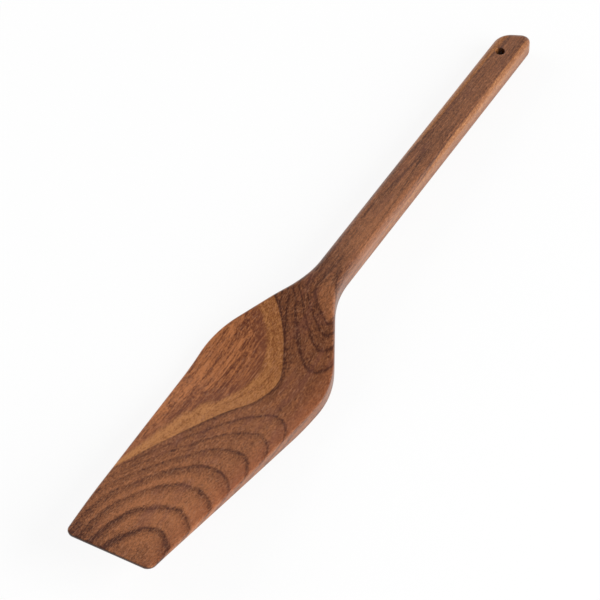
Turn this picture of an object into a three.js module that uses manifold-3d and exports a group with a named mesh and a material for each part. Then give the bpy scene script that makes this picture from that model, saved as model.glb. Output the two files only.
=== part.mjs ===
// A hardwood kitchen spatula, shaped from one board: a flat tapering blade, a neck that
// sweeps up from it, and a straight handle with a hanging hole near its end.
// Millimetres, +Z up. X runs along the tool from the blade's tip to the handle's end, Y across it.
// It lies on a table, on the heel of the blade and the end of the handle.
// The origin is under the middle of the tool, on the table.
import * as THREE from "three";
import { mergeVertices } from "three/addons/utils/BufferGeometryUtils.js";
import Module from "manifold-3d";

// Plan view: lengths between the corners of the outline, before they are rounded
const BLADE_LENGTH = 120.3;
const NECK_LENGTH = 38.7;
const HANDLE_LENGTH = 173;

// Plan view: widths at those corners
const TIP_WIDTH = 38.5;
const SHOULDER_WIDTH = 57.4;
const NECK_WIDTH = 13.8;
const HANDLE_WIDTH = 14.3;

// Plan view: radii of the rounded corners
const TIP_CORNER_RADIUS = 3.5;
const SHOULDER_RADIUS = 38;
const NECK_RADIUS = 41;
const END_CORNER_RADIUS = 6.6;

// Plan view: the tip and the end are cut a little out of square. Each slant is how much further
// from the tip the cut lies on the -Y side than on the +Y side, and it dies away over a length.
const TIP_SLANT = 1.8;
const TIP_SLANT_LENGTH = 60;
const END_SLANT = 7;
const END_SLANT_LENGTH = 24;

// Plan view: towards the tip the blade's +Y edge is trimmed back, more and more over a length
const TIP_TRIM = 0.9;
const TIP_TRIM_LENGTH = 28;

// Side view: how far the tip's underside stands above the table, and where the heel touches it
const TIP_LIFT = 21.2;
const HEEL_BEFORE_SHOULDER = 20.3;
const HEEL_SPAN = 26;
const HEEL_RADIUS = 85;

// Side view: the crest, where the neck's sweep meets the handle
const CREST_BEFORE_NECK = 7.5;
const CREST_LIFT = 5.7;
const CREST_RADIUS = 60;

// Side view: the hollow of the top face above the heel
const HOLLOW_BEFORE_SHOULDER = 7;
const HOLLOW_HEIGHT = 5;
const HOLLOW_RADIUS = 85;

// Side view: thickness at the tip, the crest and the handle's end
const TIP_THICKNESS = 1.6;
const CREST_THICKNESS = 10.8;
const END_THICKNESS = 10.7;

// Rounding of the long edges, and of the tip's and the handle's end edges
const BLADE_EDGE_RADIUS = 1;
const HANDLE_EDGE_RADIUS = 3;
const TIP_EDGE_RADIUS = 0.5;
const END_EDGE_RADIUS = 4;
const MOST_ROUNDED_SHARE = 0.96;

// Hanging hole, drilled through the handle a little to the +Y side of its centre line
const HOLE_DIAMETER = 4.2;
const HOLE_FROM_END = 15;
const HOLE_OFFSET = 1;
const DRILL_OVERRUN = 5;

// Fineness of the faceted surface
const STATION_STEP = 6;
const LEAST_STATION_GAP = 0.3;
const ARC_STEPS = 6;
const EDGE_STEPS = 5;
const HOLE_SIDES = 32;
const SAME_POINT = 1e-4;

const WOOD_COLOUR = 0x8a5a3c;
const WOOD_ROUGHNESS = 0.55;

// Where the corners lie along the tool, measured from the tip
const SHOULDER_X = BLADE_LENGTH;
const NECK_X = BLADE_LENGTH + NECK_LENGTH;
const END_X = BLADE_LENGTH + NECK_LENGTH + HANDLE_LENGTH;
const HEEL_X = SHOULDER_X - HEEL_BEFORE_SHOULDER;
const HOLLOW_X = SHOULDER_X - HOLLOW_BEFORE_SHOULDER;
const CREST_X = NECK_X - CREST_BEFORE_NECK;

// A path through corners [along, across, radius], with each inner corner rounded by an arc.
function roundedPath(corners) {
  const path = new THREE.Path();
  path.moveTo(corners[0][0], corners[0][1]);
  for (let i = 1; i < corners.length - 1; i++) {
    const [before, corner, after] = [corners[i - 1], corners[i], corners[i + 1]].map(
      ([x, y]) => new THREE.Vector2(x, y),
    );
    const radius = corners[i][2];
    const back = before.sub(corner).normalize();
    const ahead = after.sub(corner).normalize();
    const halfAngle = Math.acos(back.dot(ahead)) / 2;
    const centre = back.clone().add(ahead).normalize();
    centre.multiplyScalar(radius / Math.sin(halfAngle)).add(corner);
    const tangentLength = radius / Math.tan(halfAngle);
    const start = back.clone().multiplyScalar(tangentLength).add(corner);
    const end = ahead.clone().multiplyScalar(tangentLength).add(corner);
    const startAngle = start.clone().sub(centre).angle();
    const endAngle = end.clone().sub(centre).angle();
    const turnsClockwise = back.cross(ahead) > 0;
    path.lineTo(start.x, start.y);
    path.absarc(centre.x, centre.y, radius, startAngle, endAngle, turnsClockwise);
  }
  const last = corners[corners.length - 1];
  path.lineTo(last[0], last[1]);
  return path;
}

// The height of a sampled path at one place along the tool, where the path runs tip to end.
function heightAt(points, along) {
  for (let i = 1; i < points.length; i++) {
    const [a, b] = [points[i - 1], points[i]];
    if (along <= b.x && b.x > a.x) {
      const share = Math.max(0, (along - a.x) / (b.x - a.x));
      return a.y + share * (b.y - a.y);
    }
  }
  return points[points.length - 1].y;
}

// Half of the plan outline, from the middle of the tip round to the middle of the end.
const outline = roundedPath([
  [0, 0],
  [0, TIP_WIDTH / 2, TIP_CORNER_RADIUS],
  [SHOULDER_X, SHOULDER_WIDTH / 2, SHOULDER_RADIUS],
  [NECK_X, NECK_WIDTH / 2, NECK_RADIUS],
  [END_X, HANDLE_WIDTH / 2, END_CORNER_RADIUS],
  [END_X, 0],
]).getPoints(ARC_STEPS);

// The top face seen from the side, from the middle of the tip's edge to the middle of the end.
const topFace = roundedPath([
  [0, TIP_LIFT + TIP_THICKNESS / 2],
  [0, TIP_LIFT + TIP_THICKNESS, TIP_EDGE_RADIUS],
  [HOLLOW_X, HOLLOW_HEIGHT, HOLLOW_RADIUS],
  [CREST_X, CREST_LIFT + CREST_THICKNESS, CREST_RADIUS],
  [END_X, END_THICKNESS, END_EDGE_RADIUS],
  [END_X, END_THICKNESS / 2],
]).getPoints(ARC_STEPS);

// The underside seen from the side, with the flat of the heel on the table.
const underside = roundedPath([
  [0, TIP_LIFT + TIP_THICKNESS / 2],
  [0, TIP_LIFT, TIP_EDGE_RADIUS],
  [HEEL_X, 0, HEEL_RADIUS],
  [HEEL_X + HEEL_SPAN, 0, HEEL_RADIUS],
  [CREST_X, CREST_LIFT, CREST_RADIUS],
  [END_X, 0, END_EDGE_RADIUS],
  [END_X, END_THICKNESS / 2],
]).getPoints(ARC_STEPS);

// Places along the tool where a cross-section is taken: every bend of the three paths, and
// enough between them to follow the surface.
function sectionPlaces() {
  const bends = [...outline, ...topFace, ...underside].map((point) => point.x);
  const steps = Math.ceil(END_X / STATION_STEP);
  for (let i = 0; i <= steps; i++) bends.push((END_X * i) / steps);
  bends.sort((a, b) => a - b);
  const places = [];
  for (const x of bends) {
    if (!places.length || x - places[places.length - 1] > LEAST_STATION_GAP) places.push(x);
  }
  places[places.length - 1] = END_X;
  return places;
}

// The rounding of the long edges grows along the neck, from the blade's to the handle's.
function edgeRadiusAt(along, halfThickness, halfWidth) {
  const share = THREE.MathUtils.smoothstep(along, SHOULDER_X, NECK_X);
  const wanted = THREE.MathUtils.lerp(BLADE_EDGE_RADIUS, HANDLE_EDGE_RADIUS, share);
  return Math.min(wanted, halfThickness * MOST_ROUNDED_SHARE, halfWidth * MOST_ROUNDED_SHARE);
}

// How far a cross-section leans along the tool for each millimetre across it.
function slantAt(along) {
  const nearTip = 1 - THREE.MathUtils.smoothstep(along, 0, TIP_SLANT_LENGTH);
  const nearEnd = THREE.MathUtils.smoothstep(along, END_X - END_SLANT_LENGTH, END_X);
  return -(nearTip * TIP_SLANT) / TIP_WIDTH - (nearEnd * END_SLANT) / HANDLE_WIDTH;
}

// How far the +Y edge is trimmed back.
function trimAt(along) {
  return TIP_TRIM * Math.max(0, 1 - along / TIP_TRIM_LENGTH) ** 2;
}

// One cross-section: a rectangle with rounded corners, as points going round it.
function section(along) {
  const centre = -trimAt(along) / 2;
  const halfWidth = heightAt(outline, along) + centre;
  const top = heightAt(topFace, along);
  const bottom = heightAt(underside, along);
  const middle = (top + bottom) / 2;
  const halfThickness = (top - bottom) / 2;
  const radius = edgeRadiusAt(along, halfThickness, halfWidth);
  const slant = slantAt(along);
  const points = [];
  for (let quarter = 0; quarter < 4; quarter++) {
    const side = quarter === 0 || quarter === 3 ? 1 : -1;
    const face = quarter < 2 ? 1 : -1;
    for (let i = 0; i <= EDGE_STEPS; i++) {
      const angle = ((quarter + i / EDGE_STEPS) * Math.PI) / 2;
      const across = centre + side * (halfWidth - radius) + radius * Math.cos(angle);
      const height = middle + face * (halfThickness - radius) + radius * Math.sin(angle);
      points.push([along + slant * across, across, height]);
    }
  }
  return points;
}

// The closed skin over all the cross-sections, with a flat cap at each end.
function skin() {
  const rings = sectionPlaces().map(section);
  const count = rings[0].length;
  const positions = rings.flat(2);
  const triangles = [];
  for (let ring = 0; ring < rings.length - 1; ring++) {
    for (let i = 0; i < count; i++) {
      const next = (i + 1) % count;
      const [a, b] = [ring * count + i, ring * count + next];
      const [c, d] = [a + count, b + count];
      triangles.push(a, b, d, a, d, c);
    }
  }
  const last = (rings.length - 1) * count;
  for (let i = 1; i < count - 1; i++) {
    triangles.push(0, i + 1, i);
    triangles.push(last, last + i, last + i + 1);
  }
  const geometry = new THREE.BufferGeometry();
  geometry.setAttribute("position", new THREE.Float32BufferAttribute(positions, 3));
  geometry.setIndex(triangles);
  return geometry;
}

const wasm = await Module();
wasm.setup();

// A closed geometry as a solid that can be cut.
function solidOf(geometry) {
  const bare = geometry.clone();
  bare.deleteAttribute("normal");
  bare.deleteAttribute("uv");
  const merged = mergeVertices(bare, SAME_POINT);
  return new wasm.Manifold(
    new wasm.Mesh({
      numProp: 3,
      vertProperties: new Float32Array(merged.attributes.position.array),
      triVerts: new Uint32Array(merged.index.array),
    }),
  );
}

// A solid back as a geometry that can be drawn.
function geometryOf(solid) {
  const mesh = solid.getMesh();
  const geometry = new THREE.BufferGeometry();
  geometry.setAttribute("position", new THREE.BufferAttribute(mesh.vertProperties, 3));
  geometry.setIndex(new THREE.BufferAttribute(mesh.triVerts, 1));
  geometry.computeVertexNormals();
  return geometry;
}

// The drill that makes the hanging hole, long enough to pass right through the handle.
function holeDrill() {
  const holeX = END_X - HOLE_FROM_END;
  const top = heightAt(topFace, holeX);
  const bottom = heightAt(underside, holeX);
  const drill = new THREE.CylinderGeometry(
    HOLE_DIAMETER / 2,
    HOLE_DIAMETER / 2,
    top - bottom + 2 * DRILL_OVERRUN,
    HOLE_SIDES,
  );
  drill.rotateX(Math.PI / 2);
  drill.translate(holeX, HOLE_OFFSET, (top + bottom) / 2);
  return drill;
}

const wood = new THREE.MeshStandardMaterial({
  color: WOOD_COLOUR,
  roughness: WOOD_ROUGHNESS,
  metalness: 0,
});
const geometry = geometryOf(solidOf(skin()).subtract(solidOf(holeDrill())));
geometry.computeBoundingBox();
const middle = geometry.boundingBox.getCenter(new THREE.Vector3());
geometry.translate(-middle.x, 0, 0);
const spatula = new THREE.Mesh(geometry, wood);
spatula.name = "spatula";

const model = new THREE.Group();
model.add(spatula);
export default model;
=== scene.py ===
"""The looks of a wooden spatula: one smooth body of figured brown hardwood in a plain studio.

The body follows the CAD part's own dimensions with a finer surface. Its wood is solid: growth
layers bow down through the board, and the hollowed top face cuts them into nested rings.
"""

import logging
import math
from dataclasses import dataclass
from enum import Enum
from functools import partial
from typing import Sequence, Union

import bpy
import numpy as np
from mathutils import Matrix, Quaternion, Vector


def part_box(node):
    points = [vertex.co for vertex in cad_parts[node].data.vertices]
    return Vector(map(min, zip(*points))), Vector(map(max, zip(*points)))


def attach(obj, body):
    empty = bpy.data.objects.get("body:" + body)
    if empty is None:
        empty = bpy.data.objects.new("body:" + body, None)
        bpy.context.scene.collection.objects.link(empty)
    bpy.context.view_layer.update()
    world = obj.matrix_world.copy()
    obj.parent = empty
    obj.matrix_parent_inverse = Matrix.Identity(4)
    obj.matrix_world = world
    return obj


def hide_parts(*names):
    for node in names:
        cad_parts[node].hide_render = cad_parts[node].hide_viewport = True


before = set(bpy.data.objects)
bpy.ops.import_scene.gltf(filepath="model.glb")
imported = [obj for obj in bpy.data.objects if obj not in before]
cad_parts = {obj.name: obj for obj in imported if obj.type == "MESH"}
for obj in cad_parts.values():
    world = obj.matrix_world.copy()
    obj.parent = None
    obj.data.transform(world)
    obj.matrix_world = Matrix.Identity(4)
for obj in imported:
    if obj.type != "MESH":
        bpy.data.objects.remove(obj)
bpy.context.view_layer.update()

LOG = logging.getLogger("spatula")
MM = 0.001
NODE = "spatula"
BODY = "root"

Socket = bpy.types.NodeSocket
Value = Union[float, "Signal"]
Colour = tuple[float, float, float]
Place = tuple[float, float, float]
Range = tuple[float, float]
Knots = Sequence[tuple[float, float]]
Mesh = tuple[np.ndarray, list[list[int]]]

WHITE: Colour = (1.0, 1.0, 1.0)


def linear(red: int, green: int, blue: int) -> Colour:
    """Turn a display colour into scene light.

    Args:
        red: Red as shown on a display, 0 to 255.
        green: Green as shown on a display, 0 to 255.
        blue: Blue as shown on a display, 0 to 255.

    Returns:
        The same colour as three linear values.
    """
    toe, toe_slope, offset, power = 0.04045, 12.92, 0.055, 2.4
    shares = [channel / 255 for channel in (red, green, blue)]
    return tuple(
        share / toe_slope if share <= toe else ((share + offset) / (1 + offset)) ** power
        for share in shares
    )


def eased_curve(knots: Knots, places: np.ndarray, ease: float) -> np.ndarray:
    """Read a curve through knots whose bends are eased over a length.

    Args:
        knots: Pairs of place and value, in order of place.
        places: Where to read the curve.
        ease: Length over which each bend is spread.

    Returns:
        The curve's value at each place.
    """
    steps = 12
    xs, ys = np.array(knots, float).T
    grid = np.arange(xs[0] - 2 * ease, xs[-1] + 2 * ease, ease / steps)
    window = np.hanning(2 * steps + 3)
    padded = np.pad(np.interp(grid, xs, ys), len(window) // 2, mode="edge")
    smooth = np.convolve(padded, window / window.sum(), mode="valid")
    return np.interp(places, grid, smooth)


def smoothstep(share: float) -> float:
    """Ease a share from 0 to 1 at both ends."""
    held = min(max(share, 0.0), 1.0)
    return held * held * (3 - 2 * held)


class RoundedPath:
    """A path through corners (along, height, radius), each inner one rounded by an arc."""

    def __init__(self, corners: Sequence[Sequence[float]], arc_steps: int) -> None:
        """Sample the path.

        Args:
            corners: The corners from the tip to the end; the first and last have no radius.
            arc_steps: Number of steps along each arc.
        """
        arcs = [
            self._arc(*(np.array(corner[:2], float) for corner in trio), trio[1][2], arc_steps)
            for trio in zip(corners, corners[1:], corners[2:])
        ]
        self.points = np.concatenate(arcs)

    @staticmethod
    def _arc(
        before: np.ndarray, corner: np.ndarray, after: np.ndarray, radius: float, steps: int
    ) -> np.ndarray:
        """Round one corner.

        Args:
            before: The corner before it.
            corner: The corner to round.
            after: The corner after it.
            radius: Radius of the rounding.
            steps: Number of steps along the arc.

        Returns:
            Points along the arc, from its first tangent point to its last.
        """
        back = (before - corner) / np.linalg.norm(before - corner)
        ahead = (after - corner) / np.linalg.norm(after - corner)
        half_angle = math.acos(float(back @ ahead)) / 2
        bisector = (back + ahead) / np.linalg.norm(back + ahead)
        centre = corner + bisector * radius / math.sin(half_angle)
        sweep = math.pi / 2 - half_angle
        side = (ahead - back) / np.linalg.norm(ahead - back)
        turns = np.linspace(-sweep, sweep, steps + 1)[:, None]
        return centre + radius * (np.sin(turns) * side - np.cos(turns) * bisector)

    def at(self, along: Union[float, np.ndarray]) -> np.ndarray:
        """Give the path's height at a place, or at each of several places, along the tool."""
        return np.interp(along, self.points[:, 0], self.points[:, 1])


@dataclass(frozen=True)
class SpatulaShape:
    """The spatula's dimensions in millimetres, as in the CAD part, measured from its tip."""

    blade_length: float = 120.3
    neck_length: float = 38.7
    handle_length: float = 173.0
    tip_width: float = 38.5
    shoulder_width: float = 57.4
    neck_width: float = 13.8
    handle_width: float = 14.3
    tip_corner_radius: float = 3.5
    shoulder_radius: float = 38.0
    neck_radius: float = 41.0
    end_corner_radius: float = 6.6
    tip_slant: float = 1.8
    tip_slant_length: float = 60.0
    end_slant: float = 7.0
    end_slant_length: float = 24.0
    tip_trim: float = 0.9
    tip_trim_length: float = 28.0
    tip_lift: float = 21.2
    heel_before_shoulder: float = 20.3
    heel_span: float = 26.0
    heel_radius: float = 85.0
    crest_before_neck: float = 7.5
    crest_lift: float = 5.7
    crest_radius: float = 60.0
    hollow_before_shoulder: float = 7.0
    hollow_height: float = 5.0
    hollow_radius: float = 85.0
    tip_thickness: float = 1.6
    crest_thickness: float = 10.8
    end_thickness: float = 10.7
    blade_edge_radius: float = 1.0
    handle_edge_radius: float = 3.0
    tip_edge_radius: float = 0.5
    end_edge_radius: float = 4.0
    most_rounded_share: float = 0.96
    hole_diameter: float = 4.2
    hole_from_end: float = 15.0
    hole_offset: float = 1.0
    hole_rim_radius: float = 0.45
    arc_steps: int = 18

    @property
    def neck_along(self) -> float:
        """Give where the neck meets the handle."""
        return self.blade_length + self.neck_length

    @property
    def end_along(self) -> float:
        """Give where the handle ends."""
        return self.neck_along + self.handle_length

    @property
    def hole_along(self) -> float:
        """Give where the hanging hole is drilled."""
        return self.end_along - self.hole_from_end

    def outline(self) -> RoundedPath:
        """Work out half of the plan outline.

        Returns:
            The path, from the tip to the end.
        """
        corners = [
            (0, 0),
            (0, self.tip_width / 2, self.tip_corner_radius),
            (self.blade_length, self.shoulder_width / 2, self.shoulder_radius),
            (self.neck_along, self.neck_width / 2, self.neck_radius),
            (self.end_along, self.handle_width / 2, self.end_corner_radius),
            (self.end_along, 0),
        ]
        return RoundedPath(corners, self.arc_steps)

    def top_face(self) -> RoundedPath:
        """Work out the top face seen from the side.

        Returns:
            The path, from the tip to the end.
        """
        crest = self.neck_along - self.crest_before_neck
        hollow = self.blade_length - self.hollow_before_shoulder
        corners = [
            (0, self.tip_lift + self.tip_thickness / 2),
            (0, self.tip_lift + self.tip_thickness, self.tip_edge_radius),
            (hollow, self.hollow_height, self.hollow_radius),
            (crest, self.crest_lift + self.crest_thickness, self.crest_radius),
            (self.end_along, self.end_thickness, self.end_edge_radius),
            (self.end_along, self.end_thickness / 2),
        ]
        return RoundedPath(corners, self.arc_steps)

    def underside(self) -> RoundedPath:
        """Work out the underside seen from the side.

        Returns:
            The path, from the tip to the end.
        """
        crest = self.neck_along - self.crest_before_neck
        heel = self.blade_length - self.heel_before_shoulder
        corners = [
            (0, self.tip_lift + self.tip_thickness / 2),
            (0, self.tip_lift, self.tip_edge_radius),
            (heel, 0, self.heel_radius),
            (heel + self.heel_span, 0, self.heel_radius),
            (crest, self.crest_lift, self.crest_radius),
            (self.end_along, 0, self.end_edge_radius),
            (self.end_along, self.end_thickness / 2),
        ]
        return RoundedPath(corners, self.arc_steps)

    def slant(self, along: float) -> float:
        """Give how far a cross-section leans along the tool for each millimetre across it.

        Args:
            along: Place of the cross-section.

        Returns:
            The lean, as a slope.
        """
        near_tip = 1 - smoothstep(along / self.tip_slant_length)
        near_end = smoothstep(1 - (self.end_along - along) / self.end_slant_length)
        tip_lean = near_tip * self.tip_slant / self.tip_width
        end_lean = near_end * self.end_slant / self.handle_width
        return -tip_lean - end_lean

    def trim(self, along: float) -> float:
        """Give how far the blade's +Y edge is trimmed back, which grows towards the tip."""
        return self.tip_trim * max(0.0, 1 - along / self.tip_trim_length) ** 2

    def edge_radius(self, along: float, half_thickness: float, half_width: float) -> float:
        """Give the rounding of the long edges, which grows along the neck.

        Args:
            along: Place of the cross-section.
            half_thickness: Half its thickness.
            half_width: Half its width.

        Returns:
            The radius.
        """
        share = smoothstep((along - self.blade_length) / self.neck_length)
        wanted = self.blade_edge_radius + share * (self.handle_edge_radius - self.blade_edge_radius)
        return min(wanted, self.most_rounded_share * min(half_thickness, half_width))


@dataclass(frozen=True)
class Points:
    """Points of the board, in millimetres: along it from the tip, across it, up from its top face."""

    along: np.ndarray
    across: np.ndarray
    depth: np.ndarray

    def moved(self, along: float, across: float) -> "Points":
        """Give the points moved along and across the tool."""
        return Points(self.along + along, self.across + across, self.depth)


@dataclass(frozen=True)
class Figure:
    """Where the growth layers lie in the board. Places are millimetres from the tip.

    The layers are numbered from the pale streak towards the upper side of the board, and they sag
    to both sides of a heart line. The streak begins at a line across the top face.
    """

    # The layers: their number on the heart line, the line's place, and the sag to both sides of it.
    layers_on_top: Knots = (
        (0, 7.9), (18.3, 7), (31.3, 6), (44.5, 5), (57, 4), (71, 3), (82.5, 2), (94.3, 1),
        (103, 0.56), (114, 0.56), (123, 1), (132, 2), (138, 3), (142, 4), (147, 5), (153, 5.4),
        (160, 4.5), (165, 4.24), (170, 4.1), (175, 4), (200, 3.6), (245, 3), (255, 2.85), (334, 2.75),
    )
    heart_across: Knots = (
        (0, -10), (30, -11), (57, -13), (85, -17), (123, -17.5), (140, -14), (147, -11.5),
        (153, -7.6), (160, -3.9), (165, -2.4), (175, -1), (200, -0.7), (334, -0.7),
    )
    sag_at_reach: Knots = (
        (0, 0.55), (10, 0.45), (20, 0.4), (45, 0.3), (57, 0.4), (70, 0.56), (92, 0.55), (104, 0.56),
        (118, 0.5), (130, 0.75), (140, 1.5), (147, 2.2), (153, 2), (165, 1.7), (200, 1.7), (250, 1.2),
        (334, 1),
    )
    sag_power: Knots = (
        (0, 2), (28, 2), (45, 2.4), (55, 2.3), (70, 1.95), (115, 2), (138, 1.25), (334, 1.25),
    )
    near_side_sag: Knots = (
        (0, 0.8), (30, 1.1), (60, 1.3), (90, 1.6), (103, 0.4), (115, 0.4), (124, 1.2), (334, 1.2),
    )
    layers_per_mm: Knots = ((0, 0.2), (150, 0.25), (200, 0.4), (334, 0.4))
    sag_reach: float = 10.0
    neck_from: float = 115.0
    most_layers_on_neck: float = 4.45
    widest_spacing: float = 30.0
    probe: float = 0.5

    # The pale streak: where it begins, how wide it is, and how far it leans outward with depth.
    # On the handle it shows along both edges.
    streak_across: Knots = (
        (0, 37), (40, 20.5), (54, 15.5), (67, 10), (77, 5.8), (87, 1.2), (96, -4.8), (104, -7.6),
        (110, -8.7), (114, -8), (118, -6), (123, -3.5), (130, 0.4), (135, 4.1), (140.5, 9), (144, 13),
        (147, 17), (152, 24), (170, 19), (190, 15), (210, 13.2), (230, 11.5), (240, 9), (255, 7.2),
        (300, 6.7), (320, 6.2), (334, 5.7),
    )
    streak_width: Knots = (
        (0, 3), (57, 4), (74, 8), (86, 7.7), (96, 9), (107, 9.2), (117, 8), (130, 7.7), (137, 10),
        (160, 20), (200, 60), (334, 60),
    )
    streak_per_mm: Knots = ((0, 1), (150, 1), (200, 2), (334, 2))
    both_sides: Range = (150.0, 210.0)
    far_side_wider: float = 3.0

    # How light the wood is along the tool, and how strongly each of its marks shows there.
    shade: Knots = (
        (0, -0.05), (10, 0.12), (30, 0.32), (60, 0.1), (90, 0.04), (108, -0.08), (125, -0.12),
        (150, -0.14), (165, -0.24), (190, 0.12), (215, 0.06), (245, -0.06), (334, -0.1),
    )
    streak_shade: Knots = (
        (0, 0.5), (60, 0.42), (90, 0.2), (110, 0), (140, -0.15), (170, -0.2), (334, -0.2),
    )
    mark: Knots = (
        (0, 1), (55, 1), (70, 1.2), (112, 1.2), (122, 1.3), (130, 1.5), (150, 1.5), (165, 0.9),
        (175, 0.7), (190, 0.7), (210, 1.4), (246, 1.4), (262, 0.5), (334, 0.3),
    )
    line_width: Knots = (
        (0, 2.1), (45, 1.9), (62, 1.25), (110, 1.0), (120, 1.1), (160, 1.0), (334, 1.2),
    )
    line_depth: Knots = ((0, 0.12), (35, 0.15), (60, 0.22), (100, 0.24), (334, 0.24))
    halo: Knots = ((0, 0.46), (45, 0.4), (62, 0.2), (75, 0.13), (120, 0.1), (334, 0.1))
    streaky: Knots = ((0, 0), (150, 0), (185, 0.5), (334, 0.5))
    pale: Knots = ((0, 0), (150, 0), (190, 0.1), (334, 0.08))
    # How much greyer brown is mixed in along the handle.
    handle_grey: Knots = ((0, 0), (150, 0), (185, 0.2), (334, 0.2))

    # Marks on the near side of the heart line, each with the distances over which it grows.
    pale_side: Knots = ((0, 0), (160, 0), (178, 0.22), (225, 0.2), (262, 0), (334, 0))
    pale_side_reach: Range = (-2.0, 2.5)
    pale_side_level: float = 0.3
    rust: Knots = ((0, 0.15), (40, 0.35), (100, 0.35), (118, 0.25), (140, 0.1), (334, 0))
    rust_reach: Range = (1.0, 10.0)

    # The brighter wood inside the innermost ring of the neck.
    bright_from_layer: float = 4.05
    bright_to: float = 175.0
    bright_shade: float = 0.35

    ease: float = 6.0

    def attributes(self, points: Points) -> dict[str, np.ndarray]:
        """Work out the values that the wood's material reads from the mesh.

        Args:
            points: The points.

        Returns:
            Values for each point, by the name of the attribute.
        """
        read = partial(self._read, points.along)
        layer = self._layer(points)
        beyond_heart = read(self.heart_across) - points.across
        pale_side = np.interp(beyond_heart, self.pale_side_reach, (0, 1)) - self.pale_side_level
        into_streak = self._into_streak(points)
        shade = read(self.shade) + self._bright(points.along, layer)
        return {
            "layer": layer,
            "below_top": -points.depth,
            "spacing": self._spacing(points),
            "line_width": read(self.line_width),
            "line_depth": read(self.line_depth),
            "halo": read(self.halo),
            "handle_grey": read(self.handle_grey),
            "pale": read(self.pale),
            "streaky": read(self.streaky),
            "rust": read(self.rust) * np.interp(beyond_heart, self.rust_reach, (0, 1)),
            "into_streak": into_streak,
            "past_streak": into_streak - read(self.streak_width),
            "shade": shade + read(self.pale_side) * pale_side,
            "streak_shade": read(self.streak_shade),
            "mark": read(self.mark),
        }

    def _read(self, along: np.ndarray, knots: Knots) -> np.ndarray:
        """Read a curve at places along the tool."""
        return eased_curve(knots, along, self.ease)

    def _layer(self, points: Points) -> np.ndarray:
        """Give the number of the growth layer at each point.

        Args:
            points: The points.

        Returns:
            The layers' numbers, whole at the dark lines.
        """
        read = partial(self._read, points.along)
        from_heart = points.across - read(self.heart_across)
        sag = read(self.sag_at_reach) * (np.abs(from_heart) / self.sag_reach) ** read(self.sag_power)
        sag = np.where(from_heart < 0, sag * read(self.near_side_sag), sag)
        layer = read(self.layers_on_top) + read(self.layers_per_mm) * points.depth - sag
        on_neck = np.minimum(layer, self.most_layers_on_neck)
        return np.where(points.along > self.neck_from, on_neck, layer)

    def _spacing(self, points: Points) -> np.ndarray:
        """Give how far apart the growth layers come to the surface.

        Args:
            points: The points.

        Returns:
            The spacing at each point, in millimetres.
        """
        step = self.probe
        slope = np.hypot(
            self._layer(points.moved(step, 0)) - self._layer(points.moved(-step, 0)),
            self._layer(points.moved(0, step)) - self._layer(points.moved(0, -step)),
        ) / (2 * step)
        return 1 / np.maximum(slope, 1 / self.widest_spacing)

    def _bright(self, along: np.ndarray, layer: np.ndarray) -> np.ndarray:
        """Give how much brighter the wood is inside the innermost ring of the neck.

        Args:
            along: Place of each point along the tool.
            layer: Number of the growth layer at each point.

        Returns:
            What is added to the wood's shade at each point.
        """
        layers = (self.bright_from_layer, self.most_layers_on_neck)
        bright = np.interp(layer, layers, (0, self.bright_shade))
        return np.where((along > self.neck_from) & (along < self.bright_to), bright, 0)

    def _into_streak(self, points: Points) -> np.ndarray:
        """Give how far inside the pale streak each point lies.

        Args:
            points: The points.

        Returns:
            The distance past the streak's near side, in millimetres, negative before it.
        """
        read = partial(self._read, points.along)
        both_sides = np.interp(points.along, self.both_sides, (0, 1))
        mirrored = np.where(points.across > 0, self.far_side_wider, -2 * points.across)
        outward = points.across + both_sides * mirrored
        return outward - read(self.streak_across) - read(self.streak_per_mm) * points.depth


class Op(Enum):
    """The sums a shader can do."""

    ADD = "ADD"
    SUBTRACT = "SUBTRACT"
    MULTIPLY = "MULTIPLY"
    ABSOLUTE = "ABSOLUTE"
    FRACTION = "FRACT"
    LEAST = "MINIMUM"
    MOST = "MAXIMUM"


@dataclass(frozen=True)
class Signal:
    """A number that varies over a surface, on which sums can be written."""

    graph: "NodeGraph"
    socket: Socket

    def __add__(self, other: Value) -> "Signal":
        """Add a number or another signal."""
        return self.graph.math(Op.ADD, self, other)

    def __sub__(self, other: Value) -> "Signal":
        """Take a number or another signal away."""
        return self.graph.math(Op.SUBTRACT, self, other)

    def __rsub__(self, other: Value) -> "Signal":
        """Take this signal away from a number."""
        return self.graph.math(Op.SUBTRACT, other, self)

    def __mul__(self, other: Value) -> "Signal":
        """Multiply by a number or another signal."""
        return self.graph.math(Op.MULTIPLY, self, other)


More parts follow.
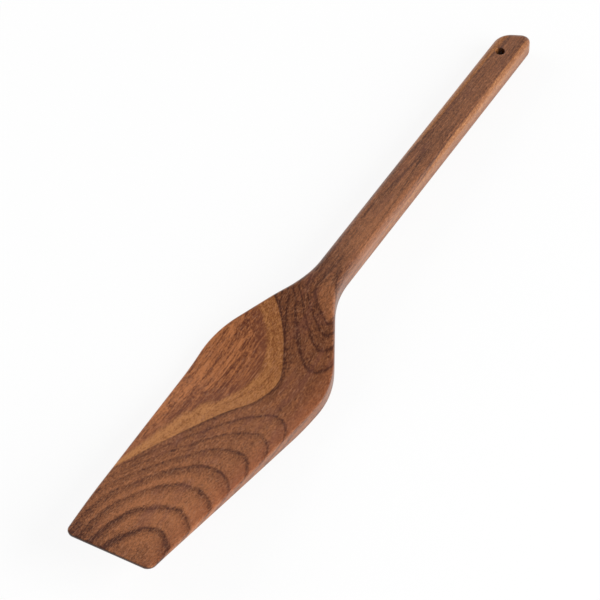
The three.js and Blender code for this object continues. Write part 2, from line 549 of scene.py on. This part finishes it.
class NodeGraph:
    """A shader's nodes, written as sums."""

    def __init__(self, tree: bpy.types.NodeTree) -> None:
        """Start from an empty tree."""
        self.tree = tree
        tree.nodes.clear()

    def node(self, kind: str) -> bpy.types.Node:
        """Add a node of a kind."""
        return self.tree.nodes.new(kind)

    def feed(self, socket: Socket, value: Union[Value, Colour, Socket]) -> None:
        """Give a socket a value or a link.

        Args:
            socket: The input to set.
            value: A number, a colour, a signal or another node's output.
        """
        if isinstance(value, Signal):
            self.tree.links.new(value.socket, socket)
        elif isinstance(value, Socket):
            self.tree.links.new(value, socket)
        elif isinstance(value, tuple):
            socket.default_value = (*value, 1.0)
        else:
            socket.default_value = value

    def math(self, op: Op, *values: Value) -> Signal:
        """Do a sum.

        Args:
            op: The sum to do.
            values: Its one or two terms.

        Returns:
            The result.
        """
        node = self.node("ShaderNodeMath")
        node.operation = op.value
        for socket, value in zip(node.inputs, values):
            self.feed(socket, value)
        return Signal(self, node.outputs[0])

    def share(self, value: Signal, low: float, high: Value) -> Signal:
        """Give how far a value is from low to high, eased at both ends.

        Args:
            value: The value to place.
            low: Where the share is 0.
            high: Where the share is 1.

        Returns:
            The share, from 0 to 1.
        """
        node = self.node("ShaderNodeMapRange")
        node.interpolation_type = "SMOOTHSTEP"
        for name, given in (("Value", value), ("From Min", low), ("From Max", high)):
            self.feed(node.inputs[name], given)
        return Signal(self, node.outputs["Result"])

    def attribute(self, name: str) -> Signal:
        """Read one of the mesh's own values.

        Args:
            name: Name of the mesh's attribute.

        Returns:
            The value.
        """
        node = self.node("ShaderNodeAttribute")
        node.attribute_name = name
        return Signal(self, node.outputs["Fac"])

    def noise(self, where: Socket, size: Place, detail: float) -> Signal:
        """Make smooth random values that wander about 0.

        Args:
            where: The place, in metres.
            size: Size of the patches along, across and up, in millimetres.
            detail: How many finer layers are added.

        Returns:
            The value, about -0.5 to 0.5.
        """
        scaled = self.node("ShaderNodeVectorMath")
        scaled.operation = "MULTIPLY"
        self.feed(scaled.inputs[0], where)
        scaled.inputs[1].default_value = [1 / (MM * each) for each in size]
        node = self.node("ShaderNodeTexNoise")
        node.inputs["Scale"].default_value = 1.0
        node.inputs["Detail"].default_value = detail
        self.feed(node.inputs["Vector"], scaled.outputs[0])
        return Signal(self, node.outputs["Fac"]) - 0.5

    def noise_by(self, value: Signal, size: float) -> Signal:
        """Make smooth random values that follow one number.

        Args:
            value: The number to follow.
            size: How much of it one patch takes.

        Returns:
            The value, about -0.5 to 0.5.
        """
        node = self.node("ShaderNodeTexNoise")
        node.noise_dimensions = "1D"
        node.inputs["Scale"].default_value = 1 / size
        self.feed(node.inputs["W"], value)
        return Signal(self, node.outputs["Fac"]) - 0.5

    def mix(
        self, share: Signal, first: Union[Colour, Socket], second: Union[Colour, Socket]
    ) -> Socket:
        """Mix two colours.

        Args:
            share: How much of the second colour there is.
            first: The colour at 0.
            second: The colour at 1.

        Returns:
            The mixed colour.
        """
        node = self.node("ShaderNodeMix")
        node.data_type = "RGBA"
        self.feed(node.inputs["Factor"], share)
        colour_inputs = [s for s in node.inputs if s.type == "RGBA"]
        self.feed(colour_inputs[0], first)
        self.feed(colour_inputs[1], second)
        return next(s for s in node.outputs if s.type == "RGBA")


@dataclass(frozen=True)
class Grain:
    """The wood's random grain at one place, from broad patches to fine fibres."""

    wander: Signal
    ripple: Signal
    patch: Signal
    blush: Signal
    flow: Signal
    fibre: Signal
    fine: Signal
    pore: Signal
    # Painted highlight: light dashes along the grain where pores catch the light.
    painted_glint: Signal


@dataclass(frozen=True)
class GrainSizes:
    """Sizes of the grain's patches along, across and up, in millimetres, and their details."""

    wander: Place = (48.0, 14.0, 14.0)
    ripple: Place = (12.0, 4.0, 4.0)
    patch: Place = (30.0, 6.0, 6.0)
    blush: Place = (17.0, 5.0, 5.0)
    flow: Place = (60.0, 2.8, 2.8)
    fibre: Place = (26.0, 0.75, 0.75)
    fine: Place = (1.1, 0.4, 0.4)
    pore: Place = (4.5, 0.35, 0.35)
    # Size of the painted highlights, light dashes along the grain.
    painted_glint: Place = (3.2, 0.42, 0.42)
    broad_detail: float = 2.0
    fine_detail: float = 1.0
    painted_glint_detail: float = 0.0
    pore_from: Range = (0.1, 0.22)
    painted_glint_from: Range = (0.08, 0.25)

    def grain(self, g: NodeGraph, where: Socket) -> Grain:
        """Make the grain.

        Args:
            g: The shader's nodes.
            where: The place, in metres.

        Returns:
            The grain at that place.
        """
        pore = g.noise(where, self.pore, self.fine_detail)
        painted_glint = g.noise(where, self.painted_glint, self.painted_glint_detail)
        return Grain(
            wander=g.noise(where, self.wander, self.broad_detail),
            ripple=g.noise(where, self.ripple, self.broad_detail),
            patch=g.noise(where, self.patch, self.broad_detail),
            blush=g.noise(where, self.blush, self.broad_detail),
            flow=g.noise(where, self.flow, self.broad_detail),
            fibre=g.noise(where, self.fibre, self.broad_detail),
            fine=g.noise(where, self.fine, self.fine_detail),
            pore=g.share(pore, *self.pore_from),
            painted_glint=g.share(painted_glint, *self.painted_glint_from),
        )


@dataclass(frozen=True)
class Zone:
    """One zone of the wood: its two colours, and how much each kind of grain shows in it."""

    dark: Colour
    light: Colour
    tone: float
    patch: float
    flow: float
    fibre: float
    fine: float

    def toned(self, grain: Grain) -> Signal:
        """Give the zone's tone, dark at 0 and light at 1, before anything of its own is added."""
        broad = grain.patch * self.patch + grain.flow * self.flow
        return broad + grain.fibre * self.fibre + grain.fine * self.fine + self.tone


@dataclass(frozen=True)
class Heartwood(Zone):
    """The brown heartwood, with a dark line at each whole growth layer."""

    dark: Colour = linear(66, 31, 17)
    light: Colour = linear(164, 103, 64)
    tone: float = 0.48
    patch: float = 0.3
    flow: float = 0.4
    fibre: float = 0.45
    fine: float = 1.5
    blush: Colour = linear(112, 66, 54)
    rust: Colour = linear(166, 92, 58)
    # Greyer brown, mixed in on the handle, and on side faces as a painted reflection.
    grey_brown: Colour = linear(128, 98, 82)
    widest_line: float = 0.24
    halo_after: float = 5.0
    halo_before: float = 1.8
    uneven_layers: float = 0.9
    uneven_by_layer: float = 0.8
    uneven_by_patch: float = 0.5
    crowded: Range = (2.0, 11.0)
    crowded_fade: float = 0.2
    border_width: float = 2.6
    border_depth: float = 0.3
    # Painted light on side faces: made lighter, and greyed as a painted reflection.
    painted_side_facing: Range = (0.5, 0.95)
    painted_side_lift: float = 0.06
    painted_side_sheen: float = 0.12
    tone_layers: float = 0.3
    tone_by_layer: float = 0.3
    blush_from: Range = (0.0, 0.25)
    blush_share: float = 0.4
    rust_off_lines: float = 0.7

    def colour(self, g: NodeGraph, grain: Grain, number: Signal, into_streak: Signal) -> Socket:
        """Colour the heartwood.

        Args:
            g: The shader's nodes.
            grain: The wood's grain.
            number: The layer's number.
            into_streak: How far inside the pale streak the place is.

        Returns:
            The colour.
        """
        spacing = g.attribute("spacing")
        core, soft = self._line(g, number, spacing)
        uneven = g.noise_by(number, self.uneven_layers) * self.uneven_by_layer
        uneven = uneven + grain.patch * self.uneven_by_patch + 1.0
        crowded = 1.0 - g.share(spacing, *self.crowded)
        line = core * g.attribute("line_depth") + soft * g.attribute("halo")
        line = line * uneven * (1.0 - crowded * self.crowded_fade)
        border = g.share(into_streak, -self.border_width, 0.0) * self.border_depth
        line = g.math(Op.MOST, line, border) * g.attribute("mark")
        # Painted light: side faces are lightened and greyed, and lose the reddish tint.
        side = g.share(g.attribute("painted_side_light"), *self.painted_side_facing)
        tone = self.toned(grain) + grain.fibre * g.attribute("streaky") + g.attribute("shade")
        tone = tone + g.noise_by(number, self.tone_layers) * self.tone_by_layer
        plain = g.mix(tone + side * self.painted_side_lift - line, self.dark, self.light)
        blushed = g.mix(g.share(grain.blush, *self.blush_from) * self.blush_share, plain, self.blush)
        rust = g.attribute("rust") * (1.0 - core * self.rust_off_lines) * (1.0 - side)
        rusty = g.mix(rust, blushed, self.rust)
        return g.mix(g.attribute("handle_grey") + side * self.painted_side_sheen, rusty, self.grey_brown)

    def _line(self, g: NodeGraph, number: Signal, spacing: Signal) -> tuple[Signal, Signal]:
        """Place the dark line at each whole layer.

        Args:
            g: The shader's nodes.
            number: The layer's number.
            spacing: How far apart the layers are, in millimetres.

        Returns:
            The line's sharp core and its soft halo, each from 0 to 1.
        """
        phase = g.math(Op.FRACTION, number)
        after = phase * spacing
        before = (1.0 - phase) * spacing
        width = g.math(Op.LEAST, g.attribute("line_width"), spacing * self.widest_line)
        core = 1.0 - g.share(g.math(Op.LEAST, after, before), 0.0, width)
        halo_after = 1.0 - g.share(after, 0.0, self.halo_after)
        halo_before = 1.0 - g.share(before, 0.0, self.halo_before)
        return core, g.math(Op.MOST, halo_after, halo_before)


@dataclass(frozen=True)
class PaleStreak(Zone):
    """The pale streak, with a brighter rim and a darker seam along its far side."""

    dark: Colour = linear(120, 68, 32)
    light: Colour = linear(176, 118, 70)
    tone: float = 0.45
    patch: float = 0.3
    flow: float = 0.3
    fibre: float = 1.1
    fine: float = 2.6
    sapwood: Colour = linear(196, 148, 110)
    rim_inside: float = 1.6
    rim_width: float = 0.9
    rim_tone: float = 0.25
    seam_inside: float = 3.4
    seam_width: float = 0.7
    seam_tone: float = -0.3
    low_from: Range = (4.0, 8.0)
    low_tone: float = -0.4

    def colour(self, g: NodeGraph, grain: Grain, past_streak: Signal) -> Socket:
        """Colour the pale streak.

        Args:
            g: The shader's nodes.
            grain: The wood's grain.
            past_streak: How far past the streak's far side the place is.

        Returns:
            The colour.
        """
        from_rim = g.math(Op.ABSOLUTE, past_streak + self.rim_inside)
        from_seam = g.math(Op.ABSOLUTE, past_streak + self.seam_inside)
        rim = 1.0 - g.share(from_rim, 0.0, self.rim_width)
        seam = 1.0 - g.share(from_seam, 0.0, self.seam_width)
        low = g.share(g.attribute("below_top"), *self.low_from)
        tone = self.toned(grain) + g.attribute("streak_shade")
        tone = tone + rim * self.rim_tone + seam * self.seam_tone + low * self.low_tone
        plain = g.mix(tone, self.dark, self.light)
        return g.mix(g.attribute("pale") * (1.0 - low), plain, self.sapwood)


@dataclass(frozen=True)
class RedWood(Zone):
    """The reddish, streaked wood beyond the pale streak."""

    dark: Colour = linear(88, 42, 24)
    light: Colour = linear(176, 110, 66)
    tone: float = 0.28
    patch: float = 0.45
    flow: float = 1.1
    fibre: float = 2.3
    fine: float = 1.9
    flush: Colour = linear(116, 67, 45)
    outer_from: Range = (4.0, 18.0)
    outer_tone: float = 0.42
    shade_share: float = 0.45
    near_streak: Range = (2.0, 9.0)
    near_streak_share: float = 0.45
    flush_from: Range = (-0.05, 0.25)
    flush_share: float = 0.35

    def colour(self, g: NodeGraph, grain: Grain, past_streak: Signal) -> Socket:
        """Colour the reddish wood.

        Args:
            g: The shader's nodes.
            grain: The wood's grain.
            past_streak: How far past the streak's far side the place is.

        Returns:
            The colour.
        """
        tone = self.toned(grain) + g.share(past_streak, *self.outer_from) * self.outer_tone
        tone = tone + g.attribute("streak_shade") * self.shade_share
        plain = g.mix(tone, self.dark, self.light)
        near_streak = (1.0 - g.share(past_streak, *self.near_streak)) * self.near_streak_share
        patches = g.share(grain.blush, *self.flush_from) * self.flush_share
        return g.mix(g.math(Op.MOST, patches, near_streak), plain, self.flush)


@dataclass(frozen=True)
class OiledWood:
    """Brown hardwood, sanded and oiled to a satin surface. Bump depth is in millimetres."""

    sizes: GrainSizes = GrainSizes()
    heart: Heartwood = Heartwood()
    streak: PaleStreak = PaleStreak()
    red: RedWood = RedWood()
    layer_wander: float = 0.6
    layer_ripple: float = 0.08
    streak_wander: float = 1.5
    red_wander: float = 7.0
    streak_edge: Range = (-0.3, 0.4)
    red_edge: Range = (-1.2, 1.8)
    pore: Colour = linear(48, 25, 14)
    pore_share: float = 0.22
    # Colour of the painted highlight: light dashes where pores catch the light.
    painted_glint: Colour = linear(178, 126, 94)
    painted_glint_share: float = 0.3
    # Faces turned to the ends darken: end grain, partly painted shade on the end faces.
    end_facing: Range = (0.4, 0.85)
    end_share: float = 0.8
    roughness: float = 0.36
    roughness_grain: float = 0.15
    shine: float = 0.36
    bump_strength: float = 0.22
    bump_depth: float = 0.08

    def material(self) -> bpy.types.Material:
        """Make the wood.

        Returns:
            The material, which reads the figure from the mesh.
        """
        made = bpy.data.materials.new("oiled_wood")
        made.use_nodes = True
        g = NodeGraph(made.node_tree)
        grain = self.sizes.grain(g, g.node("ShaderNodeTexCoord").outputs["Object"])
        self._surface(g, grain, self._colour(g, grain))
        return made

    def _colour(self, g: NodeGraph, grain: Grain) -> Socket:
        """Colour the wood zone by zone, with pores, painted highlights, and darker end grain that is
        partly painted shade.

        Args:
            g: The shader's nodes.
            grain: The wood's grain.

        Returns:
            The colour.
        """
        number = g.attribute("layer") + grain.wander * self.layer_wander
        number = number + grain.ripple * self.layer_ripple
        into_streak = g.attribute("into_streak") + grain.wander * self.streak_wander
        past_streak = g.attribute("past_streak") + grain.patch * self.red_wander
        # Darker end grain, partly painted shade on the faces turned to the ends.
        end = g.share(g.attribute("end_grain_and_shade"), *self.end_facing)
        colour = self.heart.colour(g, grain, number, into_streak)
        for share, over in (
            (g.share(into_streak, *self.streak_edge), self.streak.colour(g, grain, past_streak)),
            (g.share(past_streak, *self.red_edge), self.red.colour(g, grain, past_streak)),
            (grain.pore * self.pore_share, self.pore),
            # Painted highlights along the grain.
            (grain.painted_glint * self.painted_glint_share, self.painted_glint),
            # End grain, partly painted shade.
            (end * self.end_share, self.pore),
        ):
            colour = g.mix(share, colour, over)
        return colour

    def _surface(self, g: NodeGraph, grain: Grain, colour: Socket) -> None:
        """Give the wood its sheen and its open pores.

        Args:
            g: The shader's nodes.
            grain: The wood's grain.
            colour: The wood's colour.
        """
        bump = g.node("ShaderNodeBump")
        bump.inputs["Strength"].default_value = self.bump_strength
        bump.inputs["Distance"].default_value = self.bump_depth * MM
        g.feed(bump.inputs["Height"], grain.fibre + grain.fine - grain.pore)
        surface = g.node("ShaderNodeBsdfPrincipled")
        g.feed(surface.inputs["Base Color"], colour)
        g.feed(surface.inputs["Roughness"], grain.fine * self.roughness_grain + self.roughness)
        g.feed(surface.inputs["Normal"], bump.outputs["Normal"])
        surface.inputs["Specular IOR Level"].default_value = self.shine
        output = g.node("ShaderNodeOutputMaterial")
        g.feed(output.inputs["Surface"], surface.outputs["BSDF"])


@dataclass
class WoodBody:
    """The spatula's one piece of wood."""

    shape: SpatulaShape
    figure: Figure
    finish: OiledWood
    station_step: float = 1.0
    least_gap: float = 0.02
    edge_steps: int = 12
    flat_steps: int = 48
    hole_sides: int = 64
    drill_overrun: float = 2.0
    crease_angle: float = 32.0

    def build(self) -> bpy.types.Object:
        """Make the piece, drill it and dress it.

        Returns:
            The finished object, in place.
        """
        points, faces = self._loft()
        tip_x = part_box(NODE)[0].x / MM - float(points[:, 0].min())
        blank = self._object("spatula_blank", points + np.array([tip_x, 0, 0]), faces)
        drill = self._object("spatula_drill", *self._drill(tip_x))
        cut = blank.modifiers.new("hanging_hole", "BOOLEAN")
        cut.object = drill
        cut.solver = "EXACT"
        evaluated = blank.evaluated_get(bpy.context.evaluated_depsgraph_get())
        mesh = bpy.data.meshes.new_from_object(evaluated)
        for spare in (blank, drill):
            bpy.data.objects.remove(spare)
        self._dress(mesh, tip_x)
        piece = bpy.data.objects.new("spatula_wood", mesh)
        bpy.context.scene.collection.objects.link(piece)
        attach(piece, BODY)
        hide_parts(NODE)
        return piece

    @staticmethod
    def _object(name: str, points: np.ndarray, faces: list[list[int]]) -> bpy.types.Object:
        """Make an object from points in millimetres and faces.

        Args:
            name: Name of the object.
            points: Its points.
            faces: Its faces, as lists of point numbers.

        Returns:
            The object, linked to the scene.
        """
        mesh = bpy.data.meshes.new(name)
        mesh.from_pydata((points * MM).tolist(), [], faces)
        made = bpy.data.objects.new(name, mesh)
        bpy.context.scene.collection.objects.link(made)
        return made

    def _stations(self, paths: Sequence[RoundedPath]) -> list[float]:
        """Choose where cross-sections are taken.

        Args:
            paths: The paths whose bends have to be followed.

        Returns:
            Places along the tool, in order.
        """
        end = self.shape.end_along
        steps = np.linspace(0, end, math.ceil(end / self.station_step) + 1)
        wanted = np.sort(np.concatenate([path.points[:, 0] for path in paths] + [steps]))
        places = [0.0]
        for place in wanted:
            if place - places[-1] > self.least_gap and end - place > self.least_gap:
                places.append(float(place))
        return places + [end]

    def _section(self, along: float, half_width: float, top: float, bottom: float) -> np.ndarray:
        """Make one cross-section, a rectangle with rounded corners.

        Args:
            along: Its place along the tool.
            half_width: Half its width before the +Y edge is trimmed.
            top: Height of its top.
            bottom: Height of its bottom.

        Returns:
            Its points, going round it.
        """
        half_thickness = (top - bottom) / 2
        middle = (top + bottom) / 2
        centre = -self.shape.trim(along) / 2
        half_width = half_width + centre
        radius = self.shape.edge_radius(along, half_thickness, half_width)
        flat = np.linspace(0, 1, self.flat_steps, endpoint=False)[1:]
        across, height = [], []
        for quarter, (side, face) in enumerate(((1, 1), (-1, 1), (-1, -1), (1, -1))):
            angles = (quarter + np.linspace(0, 1, self.edge_steps + 1)) * math.pi / 2
            across.append(centre + side * (half_width - radius) + radius * np.cos(angles))
            height.append(middle + face * (half_thickness - radius) + radius * np.sin(angles))
            if side == face:
                across.append(centre + (half_width - radius) * side * (1 - 2 * flat))
                height.append(np.full(len(flat), middle + face * half_thickness))
        across = np.concatenate(across)
        leaning = along + self.shape.slant(along) * across
        return np.stack([leaning, across, np.concatenate(height)], axis=1)

    @staticmethod
    def _skin(rings: Sequence[np.ndarray]) -> Mesh:
        """Join rings of points into a closed skin.

        Args:
            rings: The rings in order, each with the same number of points.

        Returns:
            All the points, and the faces as lists of point numbers.
        """
        count = len(rings[0])
        last = count * (len(rings) - 1)
        sides = [
            [ring + i, ring + (i + 1) % count, ring + count + (i + 1) % count, ring + count + i]
            for ring in range(0, last, count)
            for i in range(count)
        ]
        caps = [list(range(count))[::-1], list(range(last, last + count))]
        return np.concatenate(rings), sides + caps

    def _loft(self) -> Mesh:
        """Make the body before it is drilled.

        Returns:
            Its points in millimetres, measured from the tip, and its faces.
        """
        paths = (self.shape.outline(), self.shape.top_face(), self.shape.underside())
        return self._skin([
            self._section(along, *(float(path.at(along)) for path in paths))
            for along in self._stations(paths)
        ])

    def _drill(self, tip_x: float) -> Mesh:
        """Make the drill for the hanging hole, which also rounds the hole's rims.

        Args:
            tip_x: Place of the tip in the part's frame, in millimetres.

        Returns:
            Its points in millimetres in the part's frame, and its faces.
        """
        shape = self.shape
        rim, radius = shape.hole_rim_radius, shape.hole_diameter / 2
        top = float(shape.top_face().at(shape.hole_along))
        bottom = float(shape.underside().at(shape.hole_along))
        turns = np.linspace(0, math.pi / 2, self.edge_steps + 1)
        in_from_face = rim * (1 - np.cos(turns))
        wider = rim * (1 - np.sin(turns))
        out = self.drill_overrun
        heights = [[bottom - out], bottom + in_from_face, (top - in_from_face)[::-1], [top + out]]
        radii = [[rim + out], wider, wider[::-1], [rim + out]]
        angles = np.linspace(0, 2 * math.pi, self.hole_sides, endpoint=False)
        rings = [
            np.stack([r * np.cos(angles), r * np.sin(angles), np.full(len(angles), h)], axis=1)
            for h, r in zip(np.concatenate(heights), radius + np.concatenate(radii))
        ]
        points, faces = self._skin(rings)
        return points + np.array([shape.hole_along + tip_x, shape.hole_offset, 0]), faces

    def _dress(self, mesh: bpy.types.Mesh, tip_x: float) -> None:
        """Smooth the mesh, and give it the wood's figure and material.

        Args:
            mesh: The drilled mesh.
            tip_x: Place of the tip in the part's frame, in millimetres.
        """
        mesh.polygons.foreach_set("use_smooth", np.ones(len(mesh.polygons), bool))
        mesh.set_sharp_from_angle(angle=math.radians(self.crease_angle))
        flat = np.empty(len(mesh.vertices) * 3, np.float32)
        mesh.vertices.foreach_get("co", flat)
        x, across, height = flat.reshape(-1, 3).T.astype(float) / MM
        along = x - tip_x
        depth = height - self.shape.top_face().at(along)
        normals = np.empty(len(mesh.vertices) * 3, np.float32)
        mesh.vertex_normals.foreach_get("vector", normals)
        read = self.figure.attributes(Points(along, across, depth))
        # End faces: darker end grain, partly painted shade. Side faces: painted light.
        read["end_grain_and_shade"], read["painted_side_light"], _ = np.abs(normals.reshape(-1, 3)).T
        for name, values in read.items():
            attribute = mesh.attributes.new(name, "FLOAT", "POINT")
            attribute.data.foreach_set("value", values.astype(np.float32))
        mesh.materials.clear()
        mesh.materials.append(self.finish.material())
        mesh.update()


@dataclass
class Studio:
    """A plain pale studio: floor, soft lights, white surroundings and the camera, in metres."""

    camera_at: Place = (-0.60821, -0.37321, 0.85721)
    camera_aim: Place = (-0.01441, 0.00592, 0.008)
    camera_roll: float = -2.175
    camera_lens: float = 160.44
    floor_size: float = 8.0
    floor_gap: float = 0.0002
    floor_albedo: float = 0.94
    floor_glow: float = 0.88
    sky_at_horizon: float = 1.3
    sky_overhead: float = 0.25
    horizon_top: float = 0.15
    overhead_from: float = 0.6
    key_at: Place = (0.2, -1.3, 0.75)
    key_size: float = 1.1
    key_watts: float = 24.0
    fill_at: Place = (-0.1, 1.3, 0.5)
    fill_size: float = 1.0
    fill_watts: float = 11.0

    def build(self) -> None:
        """Set the whole studio up."""
        self._floor()
        self._sky()
        self._lamp("key", self.key_at, self.key_size, self.key_watts)
        self._lamp("fill", self.fill_at, self.fill_size, self.fill_watts)
        self._camera()
        settings = bpy.context.scene.view_settings
        settings.view_transform = "Standard"

    def _floor(self) -> None:
        """Lay a pale floor under the object."""
        half = self.floor_size / 2
        mesh = bpy.data.meshes.new("floor")
        corners = [(-half, -half), (half, -half), (half, half), (-half, half)]
        mesh.from_pydata([(x, y, -self.floor_gap) for x, y in corners], [], [[0, 1, 2, 3]])
        material = bpy.data.materials.new("pale_floor")
        material.use_nodes = True
        g = NodeGraph(material.node_tree)
        diffuse = g.node("ShaderNodeBsdfDiffuse")
        g.feed(diffuse.inputs["Color"], (self.floor_albedo,) * 3)
        glow = g.node("ShaderNodeEmission")
        g.feed(glow.inputs["Color"], WHITE)
        both = g.node("ShaderNodeMixShader")
        g.feed(both.inputs["Fac"], self._seen(g) * self.floor_glow)
        g.feed(both.inputs[1], diffuse.outputs[0])
        g.feed(both.inputs[2], glow.outputs[0])
        g.feed(g.node("ShaderNodeOutputMaterial").inputs["Surface"], both.outputs[0])
        mesh.materials.append(material)
        floor = bpy.data.objects.new("floor", mesh)
        bpy.context.scene.collection.objects.link(floor)

    @staticmethod
    def _seen(g: NodeGraph) -> Signal:
        """Tell whether a ray comes from the camera or from a reflection.

        Args:
            g: The shader's nodes.

        Returns:
            1 where it does, else 0.
        """
        path = g.node("ShaderNodeLightPath")
        camera, glossy, transmission = (
            Signal(g, path.outputs[f"Is {kind} Ray"])
            for kind in ("Camera", "Glossy", "Transmission")
        )
        return g.math(Op.MOST, g.math(Op.MOST, camera, glossy), transmission)

    def _sky(self) -> None:
        """Surround the scene with soft white light, which is dimmer overhead."""
        world = bpy.data.worlds.new("studio")
        world.use_nodes = True
        bpy.context.scene.world = world
        g = NodeGraph(world.node_tree)
        upward = g.node("ShaderNodeSeparateXYZ")
        g.feed(upward.inputs[0], g.node("ShaderNodeTexCoord").outputs["Generated"])
        overhead = g.share(Signal(g, upward.outputs["Z"]), self.horizon_top, self.overhead_from)
        background = g.node("ShaderNodeBackground")
        g.feed(background.inputs["Color"], WHITE)
        strength = overhead * (self.sky_overhead - self.sky_at_horizon) + self.sky_at_horizon
        g.feed(background.inputs["Strength"], strength)
        g.feed(g.node("ShaderNodeOutputWorld").inputs["Surface"], background.outputs[0])

    @staticmethod
    def _lamp(name: str, place: Place, size: float, watts: float) -> None:
        """Hang one large soft light, turned towards the middle of the floor.

        Args:
            name: Name of the light.
            place: Where it hangs, in metres.
            size: Length of its sides, in metres.
            watts: Its power.
        """
        light = bpy.data.lights.new(name, "AREA")
        light.energy = watts
        light.size = size
        lamp = bpy.data.objects.new(name, light)
        lamp.location = place
        lamp.visible_glossy = False
        lamp.rotation_mode = "QUATERNION"
        lamp.rotation_quaternion = (-Vector(place)).to_track_quat("-Z", "Y")
        bpy.context.scene.collection.objects.link(lamp)

    def _camera(self) -> None:
        """Stand the camera where the photograph was taken from."""
        data = bpy.data.cameras.new("camera")
        data.lens = self.camera_lens
        camera = bpy.data.objects.new("camera", data)
        toward = Vector(self.camera_aim) - Vector(self.camera_at)
        roll = Quaternion((0, 0, 1), math.radians(self.camera_roll))
        camera.location = self.camera_at
        camera.rotation_mode = "QUATERNION"
        camera.rotation_quaternion = toward.to_track_quat("-Z", "Y") @ roll
        bpy.context.scene.collection.objects.link(camera)
        bpy.context.scene.camera = camera


def main() -> None:
    """Build the spatula and its studio."""
    logging.basicConfig(level=logging.INFO, format="%(name)s: %(message)s")
    body = WoodBody(SpatulaShape(), Figure(), OiledWood())
    piece = body.build()
    LOG.info("%s built with %d faces", piece.name, len(piece.data.polygons))
    Studio().build()
    LOG.info("studio set")


if __name__ == "__main__":
    main()
